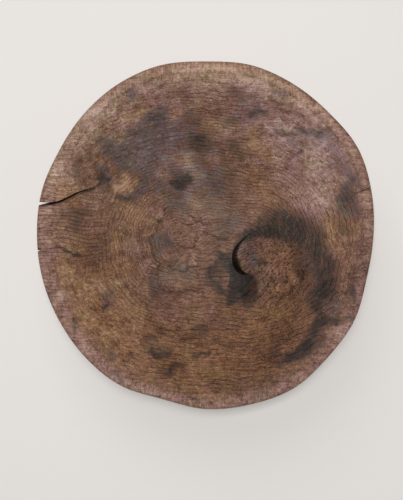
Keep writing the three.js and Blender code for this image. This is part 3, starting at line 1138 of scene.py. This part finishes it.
# Screen colours of each kind of wood, from its darkest to its lightest grain
WOOD_TONES = (0, 0.3, 0.55, 0.8, 1)
PLAIN_WOOD = [(52, 32, 22), (93, 63, 47), (124, 90, 72), (152, 120, 102), (184, 156, 139)]
ROSY_WOOD = [(70, 46, 38), (109, 78, 67), (140, 107, 94), (168, 137, 122), (200, 174, 160)]
OCHRE_WOOD = [(58, 35, 17), (98, 66, 43), (130, 93, 66), (157, 121, 92), (188, 155, 126)]
SLATE_WOOD = [(36, 27, 26), (69, 54, 52), (95, 78, 75), (119, 101, 97), (146, 128, 124)]
BLACK_WOOD = [(14, 10, 8), (32, 25, 22), (54, 44, 38), (80, 68, 60), (118, 102, 92)]
# Linear tints, which keep the brightness
VIOLET = (1.0, 0.93, 1.08, 1)
OLIVE = (0.92, 1.0, 0.88, 1)
# Screen colours of the pale flecks of painted sheen, of the pores and dots, and of the painted shade
# inside the cracks
SHEEN_FLECK_COLOUR = (172, 152, 140)
PORE_COLOUR = (34, 24, 20)
CRACK_SHADE_COLOUR = (16, 11, 9)


def wood_ramp(shading, tone, tones):
    return shading.ramp(tone, [(place, colour(*shade)) for place, shade in zip(WOOD_TONES, tones)])


def burl_wood():
    """Old stained burl wood: growth lines, fibres and pores, with the painted stains, flecks of painted
    sheen and painted shade in the cracks over them.
    """
    wood = Shading("burl_wood")
    place = wood.node("TexCoord", {}).outputs["Object"]
    place = wood.node("VectorMath", {0: place, "Scale": 1 / MM}, operation="SCALE").outputs[0]
    layer, lip_layer, crossing, lines = wood.attribute("form")
    worn, shaded_cracks, knot, seams = wood.attribute("part")
    dark, slate, ochre, rosy = wood.attribute("stains")
    violet, olive, painted_tone, edge = wood.attribute("tints")
    x, y, z = wood.node("SeparateXYZ", {0: place}).outputs

    # Mottling that doesn't follow the grain
    figure = {
        "cloudy": wood.noise(place, *CLOUDY),
        "hue": wood.noise(wood.vector("ADD", place, HUE_SHIFT), *HUE),
        "mottle": wood.noise(place, *MOTTLE),
        "speckle": wood.noise(place, *SPECKLE),
        "grit": wood.noise(place, *GRIT),
    }
    wrinkled = wood.vector("MULTIPLY", place, [1 / size for size in WRINKLE_SIZES])
    wrinkles = wood.noise(wrinkled, *WRINKLES)

    # Growth lines: a thin dark line at the end of each layer, of changing strength
    waver = wood.swing(wood.noise(place, WAVER_SIZE), WAVER)
    waver = wood.add(waver, wood.swing(figure["grit"], WAVER_GRIT))

    def growth_lines(across):
        across = wood.math("DIVIDE", wood.add(across, waver), RING_SPACING)
        across = wood.add(across, wood.times(wood.noise(place, SPACING_DRIFT_SIZE), SPACING_DRIFT))
        phase = wood.math("FRACT", across)
        return wood.math("SUBTRACT", wood.stretch(phase, *LINE_COMES), wood.stretch(phase, *LINE_GOES))

    ring = wood.mix(crossing, growth_lines(layer), growth_lines(lip_layer))
    power = wood.stretch(wood.noise(place, *RING_POWER), *RING_POWER_RUN)
    power = wood.mix(wood.times(crossing, LIP_RING_EVEN), power, LIP_RING_POWER)
    ring = wood.times(ring, wood.times(power, lines))

    # Fibres: half of them follow the layers, and half run along the block
    depth = wood.add(y, z)
    curl = wood.add(wood.mix(crossing, layer, lip_layer), waver)

    def fibres(width, length, detail=2):
        round_layers = wood.node("CombineXYZ", {
            0: wood.math("DIVIDE", curl, width),
            1: wood.math("DIVIDE", x, length),
            2: wood.math("DIVIDE", depth, length),
        }).outputs[0]
        along_block = wood.vector("MULTIPLY", place, (1 / length, 1 / width, 1 / width))
        first = wood.noise(round_layers, 1, detail, FIBRE_ROUGHNESS)
        second = wood.noise(along_block, 1, detail, FIBRE_ROUGHNESS)
        return wood.times(wood.add(first, second), 0.5)

    figure["streaks"] = fibres(STREAK_WIDTH, STREAK_LENGTH)
    pores = fibres(PORE_WIDTH, PORE_LENGTH, 1)

    # How light the wood is
    tone = wood.add(
        MIDDLE_TONE,
        painted_tone,
        wood.swings(figure, TONE_SWINGS),
        wood.times(worn, wood.swing(wrinkles, WRINKLE_TONE)),
        wood.times(ring, RING_TONE),
        wood.times(seams, SEAM_TONE),
        wood.times(edge, EDGE_TONE),
    )
    kinds = (PLAIN_WOOD, ROSY_WOOD, OCHRE_WOOD, SLATE_WOOD, BLACK_WOOD)
    plain, pink, warm, cold, black = (wood_ramp(wood, tone, kind) for kind in kinds)

    # Stains, which the mottling and the grain break up
    ragged = wood.add(1, wood.swings(figure, RAGGED_SWINGS))

    def soaked(strength):
        return wood.stretch(wood.times(strength, ragged), 0, SOAKED)

    shade = wood.blend(soaked(rosy), plain, pink)
    shade = wood.blend(soaked(ochre), shade, warm)
    shade = wood.blend(soaked(slate), shade, cold)
    tinted = wood.math("MAXIMUM", soaked(violet), wood.stretch(figure["hue"], *VIOLET_HUES))
    shade = wood.blend(tinted, shade, VIOLET, "MULTIPLY")
    tinted = wood.math("MAXIMUM", soaked(olive), wood.stretch(figure["hue"], *OLIVE_HUES))
    shade = wood.blend(tinted, shade, OLIVE, "MULTIPLY")

    # Small pale flecks of painted sheen, dark stains, dark pores, the dots of the knot, and painted shade
    # inside the cracks
    sheen_flecks = wood.stretch(wood.add(pores, wood.swings(figure, FLECK_SWINGS)), *FLECK_RUN)
    shade = wood.blend(wood.times(sheen_flecks, FLECK_POWER), shade, colour(*SHEEN_FLECK_COLOUR))
    shade = wood.blend(soaked(dark), shade, black)
    dots = wood.stretch(wood.noise(place, *DOTS), *DOT_RUN)
    dots = wood.times(dots, wood.math("MINIMUM", wood.times(knot, DOT_COVER), 1))
    specks = wood.times(wood.stretch(pores, *PORE_RUN), PORE_POWER)
    specks = wood.math("MAXIMUM", specks, wood.times(dots, DOT_POWER))
    shade = wood.blend(specks, shade, colour(*PORE_COLOUR))
    # Painted shade inside the cracks and deep in the crevice
    shade = wood.blend(shaded_cracks, shade, colour(*CRACK_SHADE_COLOUR))

    # Matt wood with dull and slightly polished spots
    relief = wood.add(
        wood.swings(figure, RELIEF_SWINGS),
        wood.times(ring, RING_RELIEF),
        wood.times(specks, SPECK_RELIEF),
    )
    bump = wood.node("Bump", {"Height": relief, "Distance": RELIEF * MM, "Strength": RELIEF_POWER})
    wood.give(wood.surface, {
        "Base Color": shade,
        "Roughness": wood.stretch(figure["grit"], 0, 1, *ROUGHNESS),
        "Specular IOR Level": GLOSS,
        "Normal": bump.outputs["Normal"],
    })
    return wood.material


def pale_floor():
    """The plain pale floor under the bowl."""
    shading = Shading("pale_floor")
    looks = {"Base Color": (0.8, 0.77, 0.74, 1), "Roughness": 0.7, "Specular IOR Level": 0.2}
    shading.give(shading.surface, looks)
    return shading.material


# Edges stay sharp from this many degrees
SHARP_ANGLE = 40

bowl = bowl_body()
cut(bowl, [
    rim_crack("split_cut", **SPLIT),
    rim_crack("check_cut", **CHECK),
    rim_crack("chip_cut", **CHIP),
    crevice(),
])
bowl.data.materials.clear()
bowl.data.materials.append(burl_wood())
bowl.data.polygons.foreach_set("material_index", [0] * len(bowl.data.polygons))
bowl.data.polygons.foreach_set("use_smooth", [True] * len(bowl.data.polygons))
bowl.data.set_sharp_from_angle(angle=math.radians(SHARP_ANGLE))
paint(bowl.data)
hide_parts("bowl")
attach(bowl, "root")

# Plain floor, soft light and camera
FLOOR_REACH = 4
corners = [(x * FLOOR_REACH, y * FLOOR_REACH, 0) for x, y in ((-1, -1), (1, -1), (1, 1), (-1, 1))]
floor_mesh = bpy.data.meshes.new("floor")
floor_mesh.from_pydata(corners, [], [(0, 1, 2, 3)])
floor = bpy.data.objects.new("floor", floor_mesh)
bpy.context.collection.objects.link(floor)
floor.data.materials.append(pale_floor())

world = bpy.data.worlds.new("studio")
bpy.context.scene.world = world
world.use_nodes = True
world.node_tree.nodes["Background"].inputs["Color"].default_value = (1, 1, 1, 1)
world.node_tree.nodes["Background"].inputs["Strength"].default_value = 0.1


def soft_light(name, size, power, place):
    """A square light of a size in metres that shines on the bowl from a place."""
    light = bpy.data.lights.new(name, "AREA")
    light.size = size
    light.energy = power
    thing = bpy.data.objects.new(name, light)
    thing.location = place
    thing.rotation_euler = (-thing.location).to_track_quat("-Z", "Y").to_euler()
    bpy.context.collection.objects.link(thing)


soft_light("overhead", size=0.6, power=43, place=(-0.04, 0.16, 2.4))
soft_light("window", size=1.6, power=13, place=(-0.5, 1.5, 1.9))

camera_data = bpy.data.cameras.new("above")
camera_data.lens = 70.4
camera_data.sensor_width = 36
camera_data.clip_end = 20
camera = bpy.data.objects.new("above", camera_data)
camera.location = (-0.0038, -0.013, 0.972)
bpy.context.collection.objects.link(camera)
bpy.context.scene.camera = camera
bpy.context.scene.view_settings.view_transform = "Standard"
